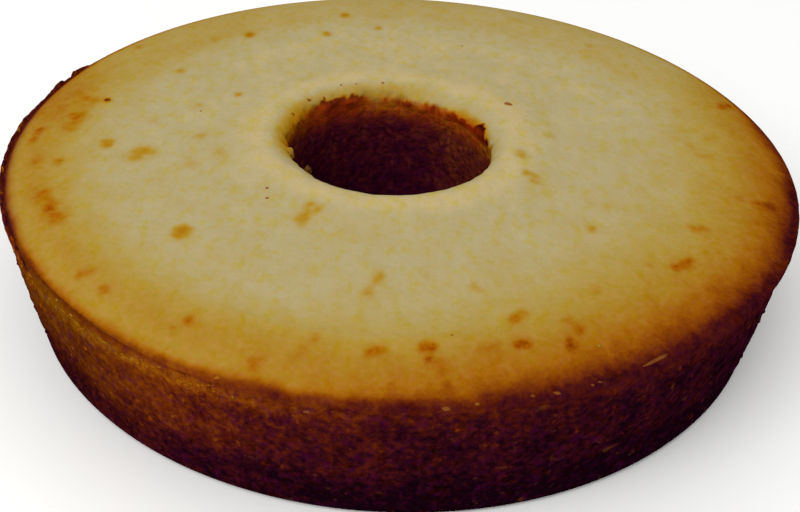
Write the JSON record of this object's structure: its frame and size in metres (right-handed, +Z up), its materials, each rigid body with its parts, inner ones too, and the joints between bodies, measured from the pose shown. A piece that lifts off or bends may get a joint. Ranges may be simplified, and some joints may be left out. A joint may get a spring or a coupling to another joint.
{
  "type": "cassava ring cake",
  "caption": "Whole uncut ring cake with a pale domed top, browned shoulder, dark tapering side and a craggy round hole through the middle.",
  "frame": {"origin": "middle of the flat base, on the surface that the cake stands on", "axes": "+Z up through the hole, -Y towards the front that the picture shows, +X to the right"},
  "size_m": [0.2403, 0.2398, 0.0511],
  "materials": {
    "baked_crust": "matte baked crust, pale cream on top, golden at the shoulder and dark brown on the side and in the hole"
  },
  "bodies": {
    "root": {"cassava_cake": "baked_crust"}
  },
  "joints": []
}
